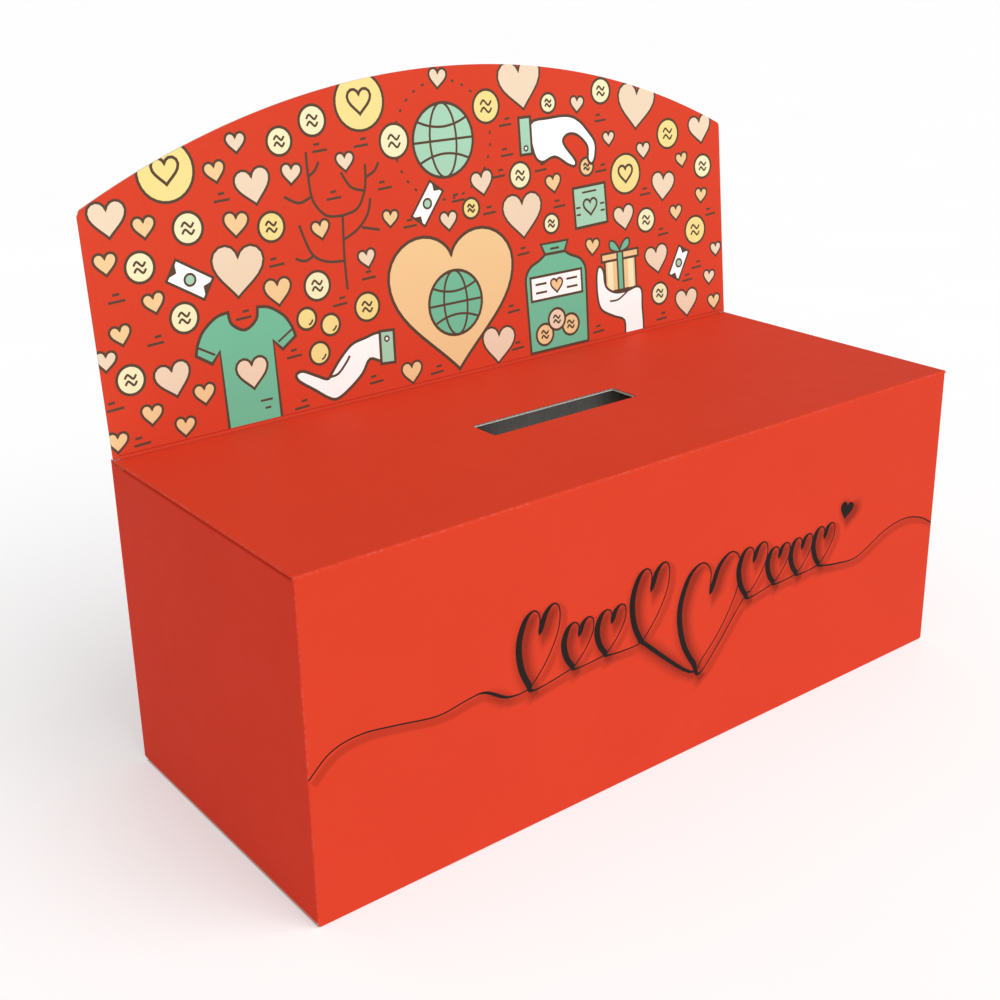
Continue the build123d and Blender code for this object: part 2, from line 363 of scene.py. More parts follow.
class Drawing:
    """Layers of closed shapes, each with an ink. A shape with no ink is a hole."""

    def __init__(self, base, ink):
        self.ink = ink
        self.layers = [(polygon, ink) for polygon in base]
        self.base_count = len(base)

    def fill(self, polygon, ink):
        self.layers.append((polygon, ink))

    def stroke(self, points, width, ink="line", closed=False):
        widths = width if isinstance(width, list) else [width * LINE_WEIGHT] * len(points)
        sides = ribbon(points, widths, closed)
        following = sides[1:] + sides[:1] if closed else sides[1:]
        for (a, b), (c, d) in zip(sides, following):
            corners = [b, d, c, a]
            hull = [corners[i] for i in convex_hull_2d([Vector(p) for p in corners])]
            if len(hull) > 2:
                self.fill(hull, ink)

    def shape(self, polygon, ink, width=0.9):
        self.fill(polygon, ink)
        self.stroke(polygon, width, closed=True)

    def triangles(self):
        """Flat points, triangles and the ink that is on top in each triangle."""
        points, edges = [], []
        for polygon, _ in self.layers:
            start, count = len(points), len(polygon)
            points += [Vector(p) for p in polygon]
            edges += [(start + i, start + (i + 1) % count) for i in range(count)]
        flat, _, triangles = delaunay_2d_cdt(points, edges, [], 0, 1e-5, False)[:3]
        corners = np.array([tuple(p) for p in flat])[np.array(triangles)]
        a, b, c = corners[:, 0], corners[:, 1], corners[:, 2]
        size = (b - a)[:, 0] * (c - a)[:, 1] - (b - a)[:, 1] * (c - a)[:, 0]
        middle = corners.mean(axis=1)
        top = np.full(len(triangles), -1)
        for number, (polygon, _) in enumerate(self.layers):
            if number < self.base_count:
                covered = within(middle, polygon)
            else:
                covered = within(middle, polygon) & (top >= 0)
            top[covered] = number
        kept = [i for i in np.nonzero((top >= 0) & (size > 1e-9))[0] if self.layers[top[i]][1]]
        return flat, [triangles[i] for i in kept], [self.layers[top[i]][1] for i in kept]


# ---------------- folded board

class Panel:
    """A panel between creases. u and v run along its printed face, and depth runs into the board.

    folds gives the lines past which the printed face turns round a corner: left and right in u, bottom and
    top in v.
    """

    def __init__(self, origin, u, v, radius=BOARD, **folds):
        self.origin, self.u, self.v = Vector(origin), Vector(u), Vector(v)
        self.normal = self.u.cross(self.v)
        self.radius = radius
        self.folds = folds

    def around(self, value, depth, low, high):
        """A coordinate and the height over the face, after the turn round the fold at low or high."""
        line, side = None, 1
        if low in self.folds and value < self.folds[low]:
            line, side = self.folds[low], -1
        elif high in self.folds and value > self.folds[high]:
            line = self.folds[high]
        if line is None:
            return value, -depth
        past = abs(value - line)
        angle = min(past / self.radius, math.pi / 2)
        down = past - angle * self.radius
        radius = self.radius - depth
        return line + side * radius * math.sin(angle), radius * math.cos(angle) - self.radius - down

    def point(self, u, v, depth):
        u, height_u = self.around(u, depth, "left", "right")
        v, height_v = self.around(v, depth, "bottom", "top")
        return self.origin + u * self.u + v * self.v + min(height_u, height_v) * self.normal


class Piece:
    """Closed shells of paper that make one object."""

    def __init__(self, name, body, *nodes, slot="printed_board"):
        self.name, self.body, self.nodes, self.slot = name, body, nodes, slot
        self.points, self.faces, self.inks = [], [], []

    def add(self, points, faces, inks):
        start = len(self.points)
        self.points += points
        self.faces += [tuple(start + i for i in face) for face in faces]
        self.inks += inks

    def sheet(self, panel, drawing, outer, inner, back_ink, edge_ink):
        """A sheet between two depths, with the drawing on its outer face."""
        flat, triangles, inks = drawing.triangles()
        count = len(flat)
        points = [panel.point(p.x, p.y, depth) for depth in (outer, inner) for p in flat]
        edges = {(t[i], t[(i + 1) % 3]) for t in triangles for i in range(3)}
        border = sorted(edge for edge in edges if edge[::-1] not in edges)
        faces = [tuple(t) for t in triangles]
        faces += [tuple(count + i for i in reversed(t)) for t in triangles]
        faces += [(a, count + a, count + b, b) for a, b in border]
        self.add(points, faces, inks + [back_ink] * len(triangles) + [edge_ink] * len(border))

    def ribbon(self, panel, samples, swap):
        """One stretch of fluting: a wave along the samples, each (along, from, to)."""
        points = []
        for along, start, stop in samples:
            wave = math.cos(2 * math.pi * along / FLUTE_PITCH) * (BOARD / 2 - LINER - MEDIUM / 2)
            for across in (start, stop):
                for depth in (BOARD / 2 + wave - MEDIUM / 2, BOARD / 2 + wave + MEDIUM / 2):
                    u, v = (across, along) if swap else (along, across)
                    points.append(panel.point(u, v, depth))
        faces = strip_faces(len(samples), swap)
        self.add(points, faces, ["medium"] * len(faces))

    def fluting(self, panel, loops, swap=False):
        """The corrugated sheet inside the board. Its ridges run across u, or across v if swap is set."""
        axis = 1 if swap else 0
        low = min(p[axis] for p in loops[0]) + FLUTE_INSET
        high = max(p[axis] for p in loops[0]) - FLUTE_INSET
        count = int((high - low) / FLUTE_PITCH * FLUTE_STEPS)
        runs = {}
        finished = []
        for i in range(count + 1):
            along = low + (high - low) * i / count
            spans = crossings(loops, along, axis)
            spans = [(a + FLUTE_INSET, b - FLUTE_INSET) for a, b in spans if b - a > 3 * FLUTE_INSET]
            if len(spans) != len(runs):
                finished += runs.values()
                runs = {k: [] for k in range(len(spans))}
            for k, (start, stop) in enumerate(spans):
                runs[k].append((along, start, stop))
        finished += runs.values()
        for run in finished:
            if len(run) > 1:
                self.ribbon(panel, run, swap)

    def make(self):
        mesh = bpy.data.meshes.new(self.name)
        used = sorted({i for face in self.faces for i in face})
        place = {old: new for new, old in enumerate(used)}
        faces = [tuple(place[i] for i in face) for face in self.faces]
        mesh.from_pydata([self.points[i] * MM for i in used], [], faces)
        names = list(dict.fromkeys(self.inks))
        for name in names:
            mesh.materials.append(MATERIALS[name])
        mesh.polygons.foreach_set("material_index", [names.index(ink) for ink in self.inks])
        mesh.polygons.foreach_set("use_smooth", [True] * len(self.faces))
        mesh.set_sharp_from_angle(angle=math.radians(32))
        obj = bpy.data.objects.new(self.name, mesh)
        bpy.context.scene.collection.objects.link(obj)
        if self.body:
            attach(obj, self.body)
        if self.nodes:
            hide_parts(*self.nodes)
        return obj


def strip_faces(count, flip):
    """The faces of a solid strip through rings of four points: its two ends, then four faces a stretch."""
    last = 4 * count - 4
    faces = [(0, 2, 3, 1), (last, last + 1, last + 3, last + 2)]
    for i in range(0, last, 4):
        faces += [
            (i, i + 1, i + 5, i + 4),
            (i + 2, i + 6, i + 7, i + 3),
            (i, i + 4, i + 6, i + 2),
            (i + 1, i + 3, i + 7, i + 5),
        ]
    return [face[::-1] for face in faces] if flip else faces


def crossings(loops, value, axis):
    """The stretches of a line across the loops that lie inside them."""
    found = []
    for loop in loops:
        for p, q in zip(loop, loop[1:] + loop[:1]):
            if (p[axis] < value) != (q[axis] < value):
                share = (value - p[axis]) / (q[axis] - p[axis])
                found.append(p[1 - axis] + share * (q[1 - axis] - p[1 - axis]))
    found.sort()
    return list(zip(found[::2], found[1::2]))


def rectangle(u, v):
    return [(u[0], v[0]), (u[1], v[0]), (u[1], v[1]), (u[0], v[1])]


def flange(panel, side, span, length=None, taper=0.0):
    """The strips of print that turn half way round a fold, or as far as a length."""
    line = panel.folds[side]
    direction = -1 if side in ("left", "bottom") else 1
    length = length or panel.radius * math.pi / 4
    strips = []
    for i in range(FOLD_STEPS):
        band = sorted(line + direction * length * (i + k) / FOLD_STEPS for k in (0, 1))
        ends = (span[0], span[1] - taper * i)
        strips.append(rectangle(band, ends) if side in ("left", "right") else rectangle(ends, band))
    return strips


def pressed(panel, side, span, taper=0.0):
    """The strips of print that the die has pressed down over a cut edge."""
    return flange(panel, side, span, PRESSED * (math.pi / 2 + 0.5), taper)


def board(
    piece, panel, outline, flanges=(), holes=(), ink="red_carton", inside="liner", swap=False, art=None,
    edges=(), edge_ink=None,
):
    """Corrugated board: a printed liner that turns half way round each fold, flutes and an inner liner."""
    strips = [strip for side, span in flanges for strip in flange(panel, side, span)]
    edge_strips = [strip for side, span in edges for strip in pressed(panel, side, span)]
    printed_face = Drawing([outline] + strips + edge_strips, ink)
    inner_face = Drawing([outline], inside)
    for hole in holes:
        printed_face.fill(hole, None)
        inner_face.fill(hole, None)
    if art:
        art(printed_face)
    piece.sheet(panel, printed_face, 0, LINER, "medium", edge_ink or ink)
    piece.sheet(panel, inner_face, BOARD - LINER, BOARD, inside, "cut")
    if strips:
        piece.sheet(panel, Drawing(strips, "medium"), LINER, BOARD * 0.6, "medium", "medium")
    piece.fluting(panel, [outline, *holes], swap)
    return piece.make()


# ---------------- the header card's pattern of giving

def heart(width, count=28, shallow=0.0):
    """A heart about the origin: the usual heart curve, with fuller sides below its widest place.

    The notch between the lobes is raised by shallow, in units of a thirty-second of the width.
    """
    points = []
    for i in range(count):
        t = 2 * math.pi * i / count
        power = 3 if math.cos(t) > 0 else 2.1
        x = math.copysign(16 * abs(math.sin(t)) ** power, math.sin(t))
        y = 13 * math.cos(t) - 5 * math.cos(2 * t) - 2 * math.cos(3 * t) - math.cos(4 * t) + 2.5
        y += shallow * max(0.0, math.cos(t)) ** 6
        points.append((x * width / 32, y * width / 32))
    return points


def draw_heart(art, x, y, width, ink, tilt=0, line=0.8):
    shape = heart(width, 60, 2.3) if width > 30 else heart(width)
    outline = turned(shape, x, y, tilt)
    art.fill(outline, ink)
    art.stroke(outline, line, closed=True)


def draw_coin(art, x, y, radius, ink, mark):
    art.shape(circle(x, y, radius), ink, 0.9)
    if mark == "heart":
        art.stroke(turned(heart(radius * 0.95, 24), x, y), 0.9, closed=True)
    elif mark == "wave":
        wave = smooth([(-0.42, -0.1), (-0.18, 0.16), (0.18, -0.16), (0.42, 0.1)])
        for shift in (-0.22, 0.22):
            art.stroke([(x + radius * px, y + radius * (py + shift)) for px, py in wave], 0.7)
    else:
        art.stroke(arc(x, y, radius * 0.62, 285, 345, 4), 0.6)


def draw_note(art, x, y, width, height, tilt):
    """A banknote with a round emblem."""
    def at(points):
        return turned(points, x, y, tilt)

    w, h = width / 2, height / 2
    art.fill(at(rectangle((-w, w), (-h, h))), "line")
    art.fill(at(rectangle((1.0 - w, w - 1.0), (1.0 - h, h - 1.0))), "white")
    art.shape(at(circle(0, 0, h * 0.44, 20)), "mint", 0.7)
    for side in (-1, 1):
        notch = [(side * (w - 1), 0.5 * h), (side * (w - 1), -0.5 * h), (side * (w - 2.8), 0)]
        art.fill(at(notch), "line")


def draw_globe(art, x, y, radius, ink):
    art.fill(circle(x, y, radius, 36), ink)
    art.stroke([(x + 0.44 * (px - x), py) for px, py in circle(x, y, radius, 32)], 0.8, closed=True)
    art.stroke([(x - radius, y), (x + radius, y)], 0.8)
    for side in (-1, 1):
        bow = [(-0.83, 0.56), (-0.45, 0.42), (0, 0.36), (0.45, 0.42), (0.83, 0.56)]
        art.stroke(smooth([(x + radius * px, y + side * radius * py) for px, py in bow]), 0.8)
    art.stroke(circle(x, y, radius, 36), 1.0, closed=True)


def draw_dotted_ring(art, x, y, radius, count):
    for i in range(count):
        start = 360 * i / count
        art.stroke(arc(x, y, radius, start, start + 100 / count, 2), 0.8)


def draw_shirt(art, x, y):
    shoulder = smooth([(6, 22), (11, 21), (16.5, 17), (19.3, 12.5), (20.5, 8.5)])
    half = shoulder + [(14.5, 4.5), (11, 8.5), (11, -24)]
    neck = [(-6, 22), (-5, 17.5), (0, 14.5), (5, 17.5)]
    outline = half + [(-px, py) for px, py in reversed(half)] + smooth(neck + [(6, 22)])[1:-1]
    art.shape(turned(outline, x, y), "green", 1.0)
    for side in (-1, 1):
        art.stroke(turned([(side * 19.6, 11.5), (side * 13, 7.6)], x, y), 0.7)
    draw_heart(art, x + 1, y - 2, 13, "blush")
    art.stroke(turned([(3, -13), (8, -13)], x, y), 0.7)
    art.stroke(turned([(4.5, -16), (7, -16)], x, y), 0.7)


def draw_jar(art, x, y):
    shoulder = smooth([(16.6, 29), (16.2, 33), (13.5, 36.6), (8.5, 38.8), (5.4, 40.8)])
    half = [(0, 0), (16, 0)] + shoulder
    outline = half + [(-px, py) for px, py in reversed(half[1:])]
    art.shape(turned(outline, x, y), "green", 1.0)
    art.shape(turned([(-5.4, 40.8), (5.4, 40.8), (7.4, 45.3), (-7.4, 45.3)], x, y), "green", 1.0)
    art.stroke(turned([(-2.4, 42.8), (2.4, 42.8)], x, y), 0.8)
    art.shape(turned(rectangle((-14, 14), (22, 32)), x, y), "white", 0.9)
    draw_heart(art, x, y + 27, 6.5, "peach", 0, 0.7)
    for side in (-1, 1):
        for height in (25.2, 28.8):
            art.stroke(turned([(side * 5.5, height), (side * 11.5, height)], x, y), 0.8)
    for cx, cy, ink in ((-8, 7, "peach"), (6.5, 9, "peach"), (-1, 12.5, "blush")):
        draw_coin(art, x + cx, y + cy, 4.6, ink, "wave")


def draw_gift(art, x, y):
    """A wrapped box on an upright hand."""
    def at(points):
        return turned(points, x, y)

    art.shape(at(rectangle((-9, 9), (-8, 6))), "peach", 0.9)
    for cx in (-6, 6):
        art.fill(at(rectangle((cx - 1.6, cx + 1.6), (-7.6, 5.6))), "cream")
    art.shape(at(rectangle((-10.7, 10.7), (5.6, 9))), "peach", 0.9)
    art.shape(at(rectangle((-1.6, 1.6), (-8, 9))), "green", 0.8)
    for side in (-1, 1):
        bow = [(0, 9), (side * 2.6, 13.4), (side * 5.6, 14), (side * 5.2, 10.4)]
        art.shape(at(smooth(bow, closed=True)), "green", 0.8)
    hand = [
        (2, -30), (11.5, -30), (12, -17), (12, -10), (9, -8), (3, -9), (-4, -8.5), (-9, -5), (-10, 2),
        (-12.5, 4), (-14, 0), (-14, -9), (-12, -15), (-5, -19), (1, -22),
    ]
    art.shape(at(smooth(hand, closed=True)), "white", 0.9)
    art.stroke(at(smooth([(4, -9), (-2, -12), (-7, -12)])), 0.7)


def draw_tag(art, x, y, tilt):
    def at(points):
        return turned(points, x, y, tilt)

    art.shape(at(rectangle((-9, 9), (-8.5, 8.5))), "mint", 1.0)
    art.stroke(at([(-4, 6), (4, 6)]), 0.7)
    draw_heart(art, x, y - 0.5, 7.5, "mint", tilt, 0.8)
    for side in (-1, 1):
        for height in (0, -3):
            art.stroke(at([(side * 5.6, height), (side * 8, height)]), 0.7)


def draw_tree(art, x, y):
    """Bare branches of a sapling."""
    branches = (
        [(0, -22), (0, -10), (1, 6)],
        [(1, 6), (-6, 7), (-11, 13), (-12, 22), (-12, 31)],
        [(1, 6), (8, 8), (12, 15), (13, 24)],
        [(0.5, -3), (7, 0), (12, 5), (14, 11)],
        [(0, -11), (-8, -10), (-14, -6), (-18, 5)],
        [(9, 0.5), (13, -0.5), (17, -1.5)],
        [(-13, -7), (-17, -8.5), (-21, -7)],
        [(-11, 15), (-17, 13), (-23, 16)],
        [(-12, 22), (-9, 24), (-7, 27)],
        [(12, 14), (6, 16), (2, 22)],
        [(13, 19), (17, 21), (19, 24)],
    )
    for branch in branches:
        art.stroke(turned(smooth(branch, steps=6), x, y), 0.9)


def draw_open_hand(art, x, y):
    """A hand held out, palm up."""
    hand = [
        (22, 10.5), (14, 10), (8, 8.5), (2, 3.5), (-2, -1), (-4, -2.5), (-9, 0), (-14, 2.5), (-17, 1.8),
        (-16, -1), (-10, -5.5), (-4, -10), (0, -11), (6, -8), (12, -3.5), (16, 1.5), (22, 0),
    ]
    art.shape(turned(smooth(hand, closed=True), x, y), "white", 1.0)
    art.stroke(turned(smooth([(-3, -2), (1, -1.5), (5, 2), (7, 4.5)]), x, y), 0.8)
    cuff = turned([(21, -1.5), (27.5, -2), (28, 11), (21.5, 11.5)], x, y)
    art.shape(cuff, "mint", 1.0)
    art.shape(circle(x + 24.5, y + 8, 1.0, 10), "white", 0.6)


def draw_giving_hand(art, x, y):
    """A hand that lets a coin fall."""
    draw_coin(art, x + 13, y - 12.5, 3.8, "peach", "wave")
    hand = [
        (-16, 8), (-6, 9.5), (4, 9.5), (10, 7), (15, 2), (18.5, -3), (18, -9), (16, -11.5), (14, -9.5),
        (14, -4), (9, 1), (4, 2), (1, 0), (2, -3), (7, -9), (6.5, -11.5), (3, -10.5), (-4, -6.5), (-11, -8),
        (-15, -4),
    ]
    art.shape(turned(smooth(hand, closed=True), x, y), "white", 1.0)
    art.shape(turned(rectangle((-22, -16), (-4, 11)), x, y), "mint", 1.0)
    art.shape(circle(x - 19, y - 1.5, 1.0, 10), "white", 0.6)


# Each is x, y and a size across, in order from the left of the card.
YELLOW_COINS = [(-119, 95.5, 21.5), (-38, 112, 21.5), (94, 70, 17)]
CREAM_COINS = [
    (-142, 26, 10.5), (-133, 64.2, 10.8), (-119, 44, 10.8), (-113.3, 75, 11.4), (-73.5, 101, 10.2),
    (-64, 46.6, 11), (-59, 107, 11.2), (-24, 96, 13), (36, 76, 10.8), (82, 106, 10.4), (105, 48.5, 10.4),
    (111.5, 14.6, 9.8), (141, 68, 10.4), (51, 54.3, 8.2), (53, 103.5, 8),
]
GOLD_COINS = [
    (-80.5, 71, 10.8), (-43, 35, 11), (10, 66, 8.2), (21, 105, 13), (120, 84.5, 12.6), (135, 40, 12.6),
]
FALLING_COINS = [(-70, 35, 8.2), (-60, 31, 8.2), (-66, 21, 8.6)]
BLUSH_HEARTS = [
    (-150, 34, 8), (-142.3, 81.8, 14), (-126.2, 22.8, 14), (-96, 57, 21), (-91, 102.2, 8), (-86, 86.2, 14.5),
    (-70, 88.8, 8.5), (-46.7, 90.6, 8), (-41, 53.3, 8), (-1.5, 117.6, 8.5), (-1.5, 62.4, 8.5),
    (16.4, 75.2, 11), (19, 8.2, 17), (36, 59.5, 20.5), (39, 112, 22), (68.5, 101.6, 7.5), (85.2, 85.8, 6.8),
    (92, 51.2, 12), (102, 98, 21.5), (105, 78.7, 8), (110.5, 30.2, 14), (116, 62, 14), (128, 7.6, 14),
    (140, 84.5, 14), (143, 17, 7.4), (147.8, 29.3, 7),
]
PEACH_HEARTS = [
    (-150, 5, 8), (-145.2, 67, 8.6), (-143.3, 42, 8), (-136, 12, 8.3), (-129.6, 77.4, 8.6), (-129.6, 51, 8.3),
    (-124, 5, 8), (-115, 15.2, 8.6), (-100.4, 93, 8.4), (-94.6, 73.7, 10), (-80.8, 47, 11.4), (-60, 67, 8),
    (-28.8, 67, 7.4), (-25, 5.2, 9.8), (53.4, 70.6, 8.4), (73, 41.2, 8), (123.3, 49.3, 7.6),
    (128, 72.2, 7.2), (139.4, 55, 7.4), (145.6, 5, 8),
]
# Each is the middle of a short dash over a longer one.
DASHES = [
    (-149, 18), (-143, 55), (-131, 38), (-141, 3.6), (-99, 84), (-96, 41), (-80, 58), (-77, 23), (-76, 3),
    (-57, 97), (-53, 79), (-55, 39), (-42, 6), (-41, 47), (-39, 97), (-30, 80), (-20, 64), (-13, 4), (4, 71),
    (19, 64), (25, 78), (28, 22), (29, 6), (30, 98), (30, 86), (35, 45), (47, 78), (56, 62), (74, 5),
    (80, 74), (81, 95), (105, 61), (112, 4), (115, 42), (129, 19), (135, 24), (145, 47),
]


def giving_pattern(art):
    """The print on the header card, in millimetres from the middle of its crease."""
    draw_heart(art, -1.6, 29.9, 61.5, "peach", 0, 1.1)
    draw_globe(art, -1.1, 29.5, 13.1, "green")
    draw_tree(art, -51, 65)
    draw_globe(art, -1, 94, 14.4, "mint")
    draw_dotted_ring(art, -1, 94, 23, 30)
    draw_note(art, -115, 57, 17, 9.5, -32)
    draw_note(art, -11, 70.5, 17, 8.5, 52)
    draw_note(art, 124, 26.5, 15, 8, 60)
    draw_shirt(art, -96, 21)
    draw_jar(art, 51.9, 1)
    draw_open_hand(art, -60, 13)
    draw_giving_hand(art, 59, 88)
    draw_gift(art, 88.5, 28)
    draw_tag(art, 73, 59, 2)
    for coins, ink, mark in (
        (YELLOW_COINS, "yellow", "heart"),
        (CREAM_COINS, "cream", "wave"),
        (GOLD_COINS, "yellow", "wave"),
        (FALLING_COINS, "yellow", "glint"),
    ):
        for x, y, size in coins:
            draw_coin(art, x, y, size / 2, ink, mark)
    for hearts, ink in ((BLUSH_HEARTS, "blush"), (PEACH_HEARTS, "peach")):
        for i, (x, y, size) in enumerate(hearts):
            draw_heart(art, x, y, size, ink, 6 * (i % 3 - 1))
    for i, (x, y) in enumerate(DASHES):
        shift = 1.2 * (i % 3 - 1)
        art.stroke([(x - 1.3 + shift, y + 1.2), (x + 1.3 + shift, y + 1.4)], 0.8)
        art.stroke([(x - 3.2, y - 1.3), (x + 3.2, y - 1.0)], 0.8)


# ---------------- the front panel's ornament

HAIRLINE_FROM = 98  # the line stays thin beyond this distance from the panel's middle
# One heart drawn in a single line from its tip: up its right side, over both lobes and down its left side.
HEART_LINE = [
    (-0.10, -0.02), (0.10, 0.07), (0.34, 0.30), (0.50, 0.62), (0.44, 0.90), (0.25, 1.0), (0.07, 0.90),
    (0.0, 0.68), (-0.07, 0.90), (-0.26, 1.0), (-0.45, 0.90), (-0.50, 0.62), (-0.33, 0.30), (-0.06, 0.05),
    (0.14, -0.06),
]
# Each heart of the row is the x and y of its tip, its width and its height. The middle one hangs lowest.
HEART_ROW = [
    (-66, 55, 17, 28), (-47, 56, 13, 17), (-32, 56, 13, 17), (-15, 55, 17, 28), (13, 35, 30, 42),
    (39, 56, 15, 20), (54, 57, 12, 15), (67, 57, 12, 15), (80, 57, 12, 16),
]
LEAD_IN = [(-152.5, 54), (-144, 61), (-133, 63), (-119, 61), (-104, 58.5), (-92, 60), (-85, 60), (-76, 55)]
LEAD_OUT = [(92, 54), (104, 53.5), (120, 60), (133, 62), (144, 59.5), (152.5, 54.5)]
SHADOW_SPREADS = (8.4, 6.6, 5.0, 3.5, 2.1, 0.8)  # one for each of the shadow's shades
SHADOW_OFFSET = (1.8, -2.0)


def pen(points, thin, thick):
    """Widths of a pointed pen: thick where the line comes down, thin where it goes up or along."""
    widths = []
    for i in range(len(points)):
        a, b = points[max(i - 2, 0)], points[min(i + 2, len(points) - 1)]
        length = math.hypot(b[0] - a[0], b[1] - a[1]) or 1.0
        fall = max(0.0, (a[1] - b[1]) / length) if abs(points[i][0]) < HAIRLINE_FROM else 0.0
        widths.append(thin + (thick - thin) * fall**1.6)
    for _ in range(3):
        near = [widths[max(i - 1, 0):i + 2] for i in range(len(widths))]
        widths = [sum(some) / len(some) for some in near]
    return widths


def scroll(art):
    """A pen line that runs through a row of hearts between two hairlines, over a soft shadow."""
    row = [
        (x + width * px + 0.22 * height * py, y + height * py)
        for x, y, width, height in HEART_ROW
        for px, py in HEART_LINE
    ]
    path = smooth(LEAD_IN + row + LEAD_OUT, steps=6)
    widths = pen(path, 0.55, 2.7)
    size, x, y, tilt = 8, 95, 76, -14
    across, down = SHADOW_OFFSET
    below = turned(path[::2], across, down)
    for i, spread in enumerate(SHADOW_SPREADS):
        ink = f"shadow_{i}"
        reach = []
        for width in widths[::2]:
            share = min(1.0, width / 1.6)
            cast = (i + 1) / len(SHADOW_SPREADS) <= share + 0.2
            reach.append(width + spread * share if cast else 0.0)
        art.stroke(below, reach, ink)
        art.fill(turned(heart(size + spread, 24), x + across, y + down, tilt), ink)
    art.stroke(path, widths, "black")
    art.fill(turned(heart(size, 24), x, y, tilt), "black")


# ---------------- the carton's walls

FRONT_SPAN = (BOARD, HEIGHT - BOARD)
SIDE_SPAN = (BASE_FOLD_Z, HEIGHT - BOARD)
UNDER_LID = HEIGHT - BOARD - 0.05
LID_REAR = LID.hi.y + LIP
DUST_Y = (DUST.lo.y, DUST.hi.y)
SLITS_Y = (DUST.lo.y - SLIT, DUST.hi.y + SLIT)
BASE_X = (BASE_OUTER.lo.x, BASE_OUTER.hi.x)
BASE_SIDE_Y = (BASE_INNER.lo.y, BASE_INNER.hi.y)
BASE_GAP = -BASE_OUTER.hi.y  # half the gap where two base flaps meet
SIDES = {"ink": "sides_red_painted_shade", "inside": "liner_sides"}  # for panels whose flutes follow each other along Y, printed in the darker red that paints shade on the sides


def side_outline(rear):
    """A side wall's outline along Y and Z: a notch for its dust flap's crease and a step behind the lid."""
    return [
        (INNER_Y[0], BASE_FOLD_Z),
        (rear, BASE_FOLD_Z),
        (rear, HEIGHT),
        (LID_REAR, HEIGHT),
        (LID_REAR, UNDER_LID),
        (SLITS_Y[1], UNDER_LID),
        (SLITS_Y[1], DUST_FOLD_Z),
        (SLITS_Y[0], DUST_FOLD_Z),
        (SLITS_Y[0], UNDER_LID),
        (INNER_Y[0], UNDER_LID),
    ]


def rounded(polygon, corners, radius, steps=5):
    """The polygon with some corners rounded, given by their indexes."""
    made = []
    for i, point in enumerate(polygon):
        if i not in corners:
            made.append(point)
            continue
        here, before, after = Vector(point), Vector(polygon[i - 1]), Vector(polygon[(i + 1) % len(polygon)])
        to_before, to_after = (before - here).normalized(), (after - here).normalized()
        half = to_before.angle(to_after) / 2
        centre = here + (to_before + to_after).normalized() * radius / math.sin(half)
        first = here + to_before * radius / math.tan(half) - centre
        last = here + to_after * radius / math.tan(half) - centre
        for step in range(steps + 1):
            share = step / steps
            made.append(tuple(centre + (first * (1 - share) + last * share).normalized() * radius))
    return made


def walls():
    board(
        Piece("front_wall", "carton", "front_panel"),
        Panel((0, FRONT, 0), (1, 0, 0), (0, 0, 1), left=INNER_X[0], right=INNER_X[1], bottom=BOARD),
        rectangle(INNER_X, FRONT_SPAN),
        [("left", FRONT_SPAN), ("right", FRONT_SPAN), ("bottom", INNER_X)],
        art=scroll,
    )
    back_u, back_v = (-INNER_X[1], -SEAM_FOLD_X), (BOARD, BACK_WALL.hi.z)
    board(
        Piece("back_wall", "carton", "back_panel"),
        Panel((0, BACK, 0), (-1, 0, 0), (0, 0, 1), left=back_u[0], right=back_u[1], bottom=BOARD),
        rectangle(back_u, back_v),
        [("left", back_v), ("right", back_v), ("bottom", back_u)],
    )
    board(
        Piece("left_wall", "carton", "left_panel"),
        Panel((LEFT, 0, 0), (0, -1, 0), (0, 0, 1), right=-INNER_Y[0], bottom=BASE_FOLD_Z),
        [(-y, z) for y, z in reversed(side_outline(LEFT_WALL.hi.y))],
        [("right", SIDE_SPAN), ("bottom", (-INNER_Y[1], -INNER_Y[0]))],
        **SIDES,
    )
    board(
        Piece("right_wall", "carton", "right_panel"),
        Panel((RIGHT, 0, 0), (0, 1, 0), (0, 0, 1), left=INNER_Y[0], right=INNER_Y[1], bottom=BASE_FOLD_Z),
        side_outline(INNER_Y[1]),
        [("left", SIDE_SPAN), ("right", (BASE_FOLD_Z, HEIGHT)), ("bottom", INNER_Y)],
        **SIDES,
    )
    low, high = SEAM.lo.z, SEAM.hi.z
    fold, tip = -INNER_Y[1], -SEAM.lo.y
    board(
        Piece("seam_flap", "carton", "seam_glue_flap"),
        Panel((SEAM.lo.x, 0, 0), (0, -1, 0), (0, 0, 1), left=fold),
        [(fold, low), (tip, low + SEAM_CHAMFER), (tip, high - SEAM_CHAMFER), (fold, high)],
        [("left", (low, high))],
        **SIDES,
    )


def base_flaps():
    """Two outer flaps creased off the front and the back, and two inner ones off the sides."""
    for name, side, line, span in (
        ("base_front", "top", -INNER_Y[0], INNER_X),
        ("base_back", "bottom", -INNER_Y[1], (SEAM_FOLD_X, INNER_X[1])),
    ):
        face = Panel((0, 0, 0), (1, 0, 0), (0, -1, 0), **{side: line})
        v = sorted((line, math.copysign(BASE_GAP, line)))
        board(Piece(name, "carton", name + "_flap"), face, rectangle(BASE_X, v), [(side, span)])
    for name, side, line in (("base_left", "left", INNER_X[0]), ("base_right", "right", INNER_X[1])):
        face = Panel((0, 0, BASE_INNER.lo.z), (1, 0, 0), (0, -1, 0), **{side: line})
        u = sorted((line, math.copysign(BASE_GAP, line)))
        outline = rectangle(u, BASE_SIDE_Y)
        board(Piece(name, "carton", name + "_flap"), face, outline, [(side, BASE_SIDE_Y)], swap=True, **SIDES)


